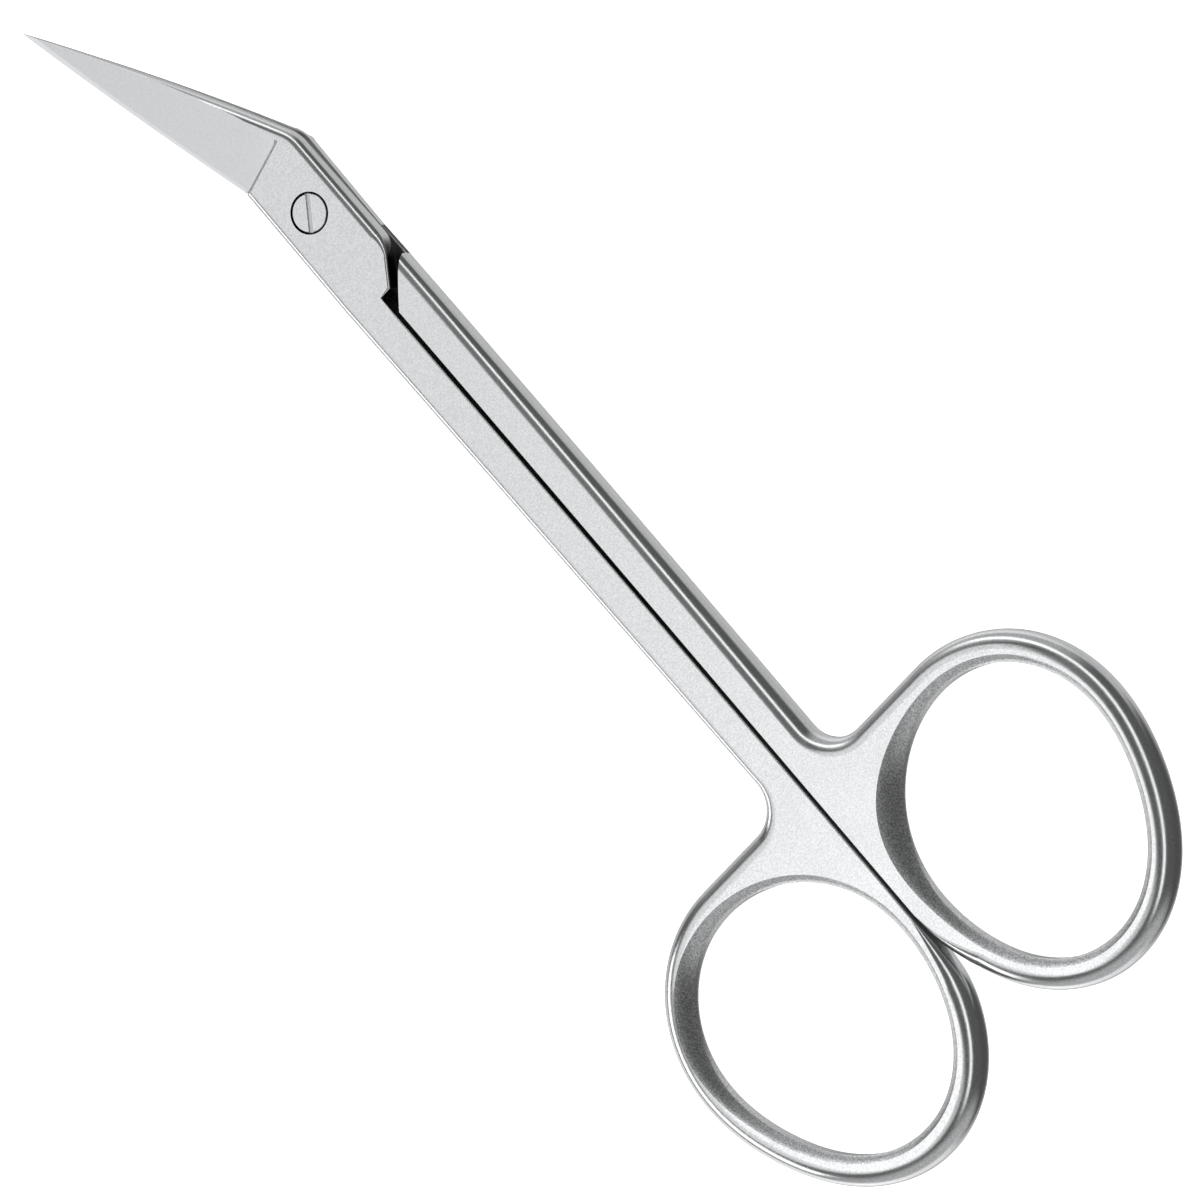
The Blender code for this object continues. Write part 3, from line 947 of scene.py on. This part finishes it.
    def edge_cutter(self) -> bpy.types.Object:
        """Make the cutter of the narrow bevel along the cutting edge.

        Returns:
            The cutter, from the heel past the tip.
        """
        if self.side is Side.FRONT:
            line = self.lower_line()[-2::-1]
        else:
            line = self.upper_line()[CUTS.fillet_steps:]
        line.append(line[-1] + (line[-1] - line[-2]).normalized() * SIZES.overrun)
        base = self.ride + self.up * self.edge_land
        rise = self.up * self.edge_height
        loops = []
        for number, point in enumerate(line):
            before = line[max(number - 1, 0)]
            after = line[min(number + 1, len(line) - 1)]
            along = (after - before).normalized()
            inward = Vector((along.y, -along.x)) * (-self.sign * self.edge_height)
            loops.append([
                Vector((*(point - inward), base - rise)),
                Vector((*(point + inward), base + rise)),
                Vector((*(point - inward), base + rise)),
            ])
        return raised("edge_cutter", loops)

    def build(self, bores: list[bpy.types.Object]) -> bpy.types.Object:
        """Model the half and give it its finishes.

        Args:
            bores: Cutters for the screw.

        Returns:
            The finished piece.
        """
        polish, ground, ride = self.polish.make(), self.ground.make(), self.ride_finish.make()
        piece = raised(
            self.name,
            rounded_loops(self.outline(), self.bottom, self.top, 1, 0.0),
        )
        piece.data.materials.append(polish)
        finger, step = self.finger_cutter(), self.step_cutter()
        grind, edge = self.grind_cutter(), self.edge_cutter()
        # The step's faces take the lapped finish, with painted shade towards the notch.
        step.data.materials.append(ride)
        finger.data.materials.append(self.bowl_finish.make())
        # The bores get near-black painted shade for the gaps round the screw.
        seat = self.seat_painted_shade.make()
        for cutter in bores:
            cutter.data.materials.append(seat)
        for cutter in (grind, edge):
            cutter.data.materials.append(ground)
        carve(piece, [finger, step])
        carve(piece, [grind, edge])
        if self.side is Side.FRONT:
            line = self.root_cutter()
            line.data.materials.append(self.line_finish.make())
            carve(piece, [line])
        carve(piece, bores)
        self.paint_wall_shade(piece)
        return piece

    def paint_wall_shade(self, piece: bpy.types.Object) -> None:
        """Paint shade onto walls in the gaps, at the blade's root and in the shoulder's recess.

        Args:
            piece: The cut half.
        """
        gap_shade = len(piece.data.materials)
        shoulder_shade = gap_shade + 1
        piece.data.materials.append(self.parting_painted_shade.make())
        piece.data.materials.append(self.shoulder_painted_shade.make())
        ground = piece.data.materials.find(self.ground.name)
        front = self.side is Side.FRONT
        for face in piece.data.polygons:
            place = face.center / MM
            steep = abs(face.normal.z) < self.shaded_wall_steepness
            # Walls that face the gap between the shanks: painted shade for the gap.
            inner_wall = (
                steep
                and abs(place.y - SIZES.parting_y) < self.shaded_gap_reach
                and SIZES.step_outer < place.x < self.shaded_gap_end
            )
            # The rear plate's wall under the front plate's edge: painted shade.
            plate_wall = (
                not front
                and face.normal.z < self.shaded_wall_steepness
                and place.y > self.shaded_plate_y
                and self.shaded_plate_start < place.x < self.shaded_plate_end
            )
            # The wall at the blade's root: painted shade for the crease.
            root_wall = (
                front
                and face.material_index == ground
                and face.normal.x < -abs(face.normal.z)
            )
            # The shoulder's wall: painted shade for the joint's recess.
            shoulder_wall = (
                front
                and steep
                and place.y > 0
                and self.shaded_shoulder_start < place.x < self.shaded_shoulder_end
            )
            if shoulder_wall:
                face.material_index = shoulder_shade
            elif inner_wall or plate_wall or root_wall:
                face.material_index = gap_shade


@dataclass
class PivotScrew:
    """The flush slotted screw on which the front half turns, in millimetres."""

    head_radius: float = 1.52
    head_height: float = 0.6
    head_chamfer: float = 0.05
    head_clearance: float = 0.17
    radius: float = 1.0
    running_clearance: float = 0.05
    thread_clearance: float = 0.02
    slot_length: float = 3.2
    slot_width: float = 0.42
    slot_depth: float = 0.12
    slot_angle: float = -38.0
    # The turned head gives the same silver as the skin, with finer lines.
    steel: SteelFinish = SteelFinish("turned_screw_stainless", grain=Grain.GROUND_ALONG)
    # The milled slot is a little duller and darker; the darker colour is painted shade for its
    # depth, so that it reads as a line across the head.
    slot_finish: SteelFinish = SteelFinish(
        "milled_slot_stainless_painted_shade", grain=Grain.GROUND_ALONG, roughness=0.35,
        light_color="BEBFC0", dark_color="A6A7A8",
    )

    def circle(self, radius: float, z: float) -> list[Vector]:
        """Draw a level circle about the pivot axis.

        Args:
            radius: Its radius.
            z: Its level.

        Returns:
            Points of the circle.
        """
        turns = [2 * math.pi * number / CUTS.circle_points for number in range(CUTS.circle_points)]
        return [Vector((radius * math.cos(turn), radius * math.sin(turn), z)) for turn in turns]

    def bore(self, name: str, radius: float, bottom: float) -> bpy.types.Object:
        """Make a round cutter that reaches up past the top.

        Args:
            name: Name of the cutter.
            radius: Its radius.
            bottom: Level of its foot.

        Returns:
            The cutter.
        """
        top = SIZES.thickness + SIZES.overrun
        return raised(name, [self.circle(radius, bottom), self.circle(radius, top)])

    def front_bores(self) -> list[bpy.types.Object]:
        """Make the cutters of the running bore and the head's seat.

        Returns:
            The cutters.
        """
        seat = SIZES.thickness - self.head_height - SIZES.ride_gap
        return [
            self.bore("running_bore", self.radius + self.running_clearance, -SIZES.overrun),
            self.bore("head_seat", self.head_radius + self.head_clearance, seat),
        ]

    def rear_bores(self) -> list[bpy.types.Object]:
        """Make the cutter of the bore that holds the screw's end."""
        return [self.bore("thread_bore", self.radius + self.thread_clearance, -SIZES.overrun)]

    def build(self) -> bpy.types.Object:
        """Model the screw and cut its slot.

        Returns:
            The finished piece.
        """
        top, seat = SIZES.thickness, SIZES.thickness - self.head_height
        piece = raised("slotted_pivot_screw", [
            self.circle(self.radius, 0.0),
            self.circle(self.radius, seat),
            self.circle(self.head_radius, seat),
            self.circle(self.head_radius, top - self.head_chamfer),
            self.circle(self.head_radius - self.head_chamfer, top),
        ])
        turn = Matrix.Rotation(math.radians(self.slot_angle), 2)
        half = Vector((self.slot_length, self.slot_width)) / 2
        corners = [
            turn @ Vector((half.x * x, half.y * y)) for x, y in ((-1, -1), (1, -1), (1, 1), (-1, 1))
        ]
        slot = raised("slot", [
            at_level(corners, top - self.slot_depth), at_level(corners, top + SIZES.overrun),
        ])
        piece.data.materials.append(self.steel.make())
        slot.data.materials.append(self.slot_finish.make())
        carve(piece, [slot])
        return piece


@dataclass(frozen=True)
class SoftBox:
    """One soft light panel that faces the scissors; its glow is what a mirror would show."""

    name: str
    direction: tuple[float, float, float]
    distance: float
    width: float
    height: float
    glow: float

    def place(self, target: Vector) -> None:
        """Add the panel to the scene.

        Args:
            target: The point that it faces.
        """
        light = bpy.data.lights.new(self.name, "AREA")
        light.shape = "RECTANGLE"
        light.size, light.size_y = self.width, self.height
        light.energy = self.glow * math.pi * self.width * self.height
        lamp = bpy.data.objects.new(self.name, light)
        way = Vector(self.direction).normalized()
        turn = way.to_track_quat("Z", "Y").to_matrix().to_4x4()
        lamp.matrix_world = Matrix.Translation(target + way * self.distance) @ turn
        bpy.context.scene.collection.objects.link(lamp)


@dataclass(frozen=True)
class Fade:
    """A smooth change in the room's shade towards one direction.

    It starts and ends at cosines of the angle from that direction.
    """

    way: tuple[float, float, float]
    start: float
    end: float
    before: float
    after: float

    def add(
        self, tree: bpy.types.NodeTree, place: bpy.types.NodeSocket
    ) -> bpy.types.NodeSocket:
        """Add the change to the room.

        Args:
            tree: The world's node tree.
            place: The direction looked at.

        Returns:
            The shade.
        """
        along = add_node(
            tree, "ShaderNodeVectorMath", {"operation": "DOT_PRODUCT"},
            values={1: self.way}, links={0: place},
        )
        shade = add_node(
            tree, "ShaderNodeMapRange", {"interpolation_type": "SMOOTHSTEP"},
            values={
                "From Min": self.start, "From Max": self.end,
                "To Min": self.before, "To Max": self.after,
            },
            links={"Value": along.outputs["Value"]},
        )
        return shade.outputs["Result"]


@dataclass(frozen=True)
class Studio:
    """The white table, the soft light, the dim room around and the camera.

    Below the horizon the room is pale with one dark side. It's brightest low on the far
    side, and dim right under the table's middle. Pale walls stand beyond the finger rings
    and the blades, and half a ring lamp hangs above.
    """

    table_size: float = 3.0
    table_color: str = "FFFFFF"
    table_roughness: float = 0.6
    table_glow: float = 1.0
    room_dark: float = 0.15
    horizon: tuple[float, float] = (0.02, -0.25)
    pale_floor: Fade = Fade((0.72, 0.54, -0.436), 0.5, 0.75, 0.82, 0.13)
    far_glow: Fade = Fade((0.0, 1.0, 0.0), -0.6, -0.92, 0.0, 0.6)
    dim_middle: Fade = Fade((-0.272, -0.370, -0.888), 0.88, 0.98, 1.0, 0.35)
    ring_wall: Fade = Fade((0.85, -0.53, 0.0), 0.55, 0.85, 0.0, 0.55)
    blade_wall: Fade = Fade((-0.95, 0.30, 0.10), 0.65, 0.9, 0.0, 0.5)
    lamp_outside: Fade = Fade((-0.272, -0.370, 0.888), 0.44, 0.50, 0.0, 1.9)
    lamp_inside: Fade = Fade((-0.272, -0.370, 0.888), 0.62, 0.68, 1.0, 0.0)
    lamp_half: Fade = Fade((-0.10, 0.98, 0.17), -0.1, 0.25, 0.0, 1.0)
    light_target: tuple[float, float, float] = (0.03, 0.0, 0.0)
    camera_place: tuple[float, float, float] = (0.2348, 0.2643, 0.6428)
    camera_right: tuple[float, float, float] = (0.62299489, 0.63569919, -0.45581126)
    camera_up: tuple[float, float, float] = (-0.73341316, 0.67732267, -0.05778528)
    camera_back: tuple[float, float, float] = (0.27199724, 0.37029791, 0.88819872)
    lens: float = 280.94
    near_clip: float = 0.01
    panels: tuple[SoftBox, ...] = (
        SoftBox("flat_light", (-0.30, -0.47, 0.83), 0.9, 0.9, 0.58, 1.09),
        SoftBox("ring_light", (0.07, -0.36, 0.93), 0.9, 0.5, 0.36, 0.78),
        SoftBox("fill_light", (-0.27, -0.06, 0.96), 0.9, 0.9, 0.2, 0.12),
        SoftBox("far_light", (-0.27, -0.915, 0.29), 0.9, 1.0, 0.3, 2.6),
    )

    def light_table(self) -> bpy.types.Object:
        """Lay the table, lit from below so that it shows no shadow.

        Returns:
            The table.
        """
        bm = bmesh.new()
        bmesh.ops.create_grid(bm, x_segments=1, y_segments=1, size=self.table_size / 2)
        mesh = bpy.data.meshes.new("opal_table")
        bm.to_mesh(mesh)
        bm.free()
        table = bpy.data.objects.new("opal_table", mesh)
        bpy.context.scene.collection.objects.link(table)
        material = bpy.data.materials.new("opal_acrylic")
        material.use_nodes = True
        shader = material.node_tree.nodes["Principled BSDF"]
        shader.inputs["Base Color"].default_value = linear(self.table_color)
        shader.inputs["Roughness"].default_value = self.table_roughness
        shader.inputs["Emission Color"].default_value = linear(self.table_color)
        shader.inputs["Emission Strength"].default_value = self.table_glow
        mesh.materials.append(material)
        table.visible_glossy = False
        return table

    def room(self) -> bpy.types.World:
        """Shade the room by direction.

        Returns:
            The world that holds the room.
        """
        world = bpy.data.worlds.new("studio_room")
        world.use_nodes = True
        tree = world.node_tree
        place = add_node(tree, "ShaderNodeTexCoord").outputs["Generated"]
        axes = add_node(tree, "ShaderNodeSeparateXYZ", links={"Vector": place})
        lit = add_node(
            tree, "ShaderNodeMath", {"operation": "ADD"},
            links={0: self.pale_floor.add(tree, place), 1: self.far_glow.add(tree, place)},
        )
        dimmed = add_node(
            tree, "ShaderNodeMath", {"operation": "MULTIPLY"},
            links={0: lit.outputs["Value"], 1: self.dim_middle.add(tree, place)},
        )
        below = add_node(
            tree, "ShaderNodeMapRange", {"interpolation_type": "SMOOTHSTEP"},
            values={
                "From Min": self.horizon[0], "From Max": self.horizon[1],
                "To Min": self.room_dark,
            },
            links={"Value": axes.outputs["Z"], "To Max": dimmed.outputs["Value"]},
        )
        walls = add_node(
            tree, "ShaderNodeMath", {"operation": "ADD"},
            links={0: self.ring_wall.add(tree, place), 1: self.blade_wall.add(tree, place)},
        )
        ring = add_node(
            tree, "ShaderNodeMath", {"operation": "MULTIPLY"},
            links={0: self.lamp_outside.add(tree, place), 1: self.lamp_inside.add(tree, place)},
        )
        lamp = add_node(
            tree, "ShaderNodeMath", {"operation": "MULTIPLY_ADD"},
            links={
                0: ring.outputs["Value"], 1: self.lamp_half.add(tree, place),
                2: walls.outputs["Value"],
            },
        )
        whole = add_node(
            tree, "ShaderNodeMath", {"operation": "ADD"},
            links={0: below.outputs["Result"], 1: lamp.outputs["Value"]},
        )
        background = tree.nodes["Background"]
        background.inputs["Color"].default_value = linear(self.table_color)
        tree.links.new(whole.outputs["Value"], background.inputs["Strength"])
        return world

    def camera(self) -> None:
        """Place the camera at the photograph's viewing angle."""
        lens = bpy.data.cameras.new("photo_camera")
        lens.lens = self.lens
        lens.clip_start = self.near_clip
        view = bpy.data.objects.new("photo_camera", lens)
        turn = Matrix((self.camera_right, self.camera_up, self.camera_back)).transposed()
        view.matrix_world = Matrix.Translation(self.camera_place) @ turn.to_4x4()
        bpy.context.scene.collection.objects.link(view)
        bpy.context.scene.camera = view

    def build(self) -> None:
        """Set up table, light and camera."""
        self.light_table()
        for panel in self.panels:
            panel.place(Vector(self.light_target))
        bpy.context.scene.world = self.room()
        bpy.context.scene.view_settings.view_transform = "Standard"
        self.camera()


def front_half() -> Half:
    """Give the sizes of the half on top.

    Returns:
        The half, not yet built.
    """
    return Half(
        side=Side.FRONT, name="front_half_forging",
        bottom=SIZES.level_offset, top=SIZES.thickness,
        face=SIZES.thickness, ride=SIZES.thickness - SIZES.front_plate,
        edge_side=3.22, spine_side=3.3,
        shank_at_joint=3.44, shank_at_ring=2.72, shank_bow=-0.03,
        joint_edge=Rounding(0.78, 1.0), neck_edge=Rounding(0.74, 1.0),
        ring_x=74.5, ring_y=11.3, ring_shift=(0.0, 0.0), ring_blend=0.4, wide_rim=1.3,
        tip_lag=0.0, inset=0.0, edge_out=0.0,
    )


def rear_half() -> Half:
    """Give the sizes of the half below.

    Returns:
        The half, not yet built.
    """
    return Half(
        side=Side.REAR, name="rear_half_forging",
        bottom=0.0, top=SIZES.thickness - SIZES.level_offset,
        face=0.0, ride=SIZES.rear_plate,
        edge_side=3.34, spine_side=3.4,
        shank_at_joint=3.24, shank_at_ring=3.34, shank_bow=0.1,
        joint_edge=Rounding(1.05, 1.0), neck_edge=Rounding(1.45, 1.0, 1.0),
        ring_x=74.3, ring_y=12.18, ring_shift=(-0.1, -0.05), ring_blend=0.05, wide_rim=1.65,
        tip_lag=SIZES.tip_lag, inset=SIZES.blade_overhang, edge_out=0.3,
    )


def main() -> None:
    """Build the scissors and the studio."""
    logging.basicConfig(level=logging.INFO)
    screw = PivotScrew()
    dress(front_half().build(screw.front_bores()), "front", "front_half")
    dress(rear_half().build(screw.rear_bores()), "rear", "rear_half")
    dress(screw.build(), "rear", "pivot_screw")
    Studio().build()


if __name__ == "__main__":
    main()
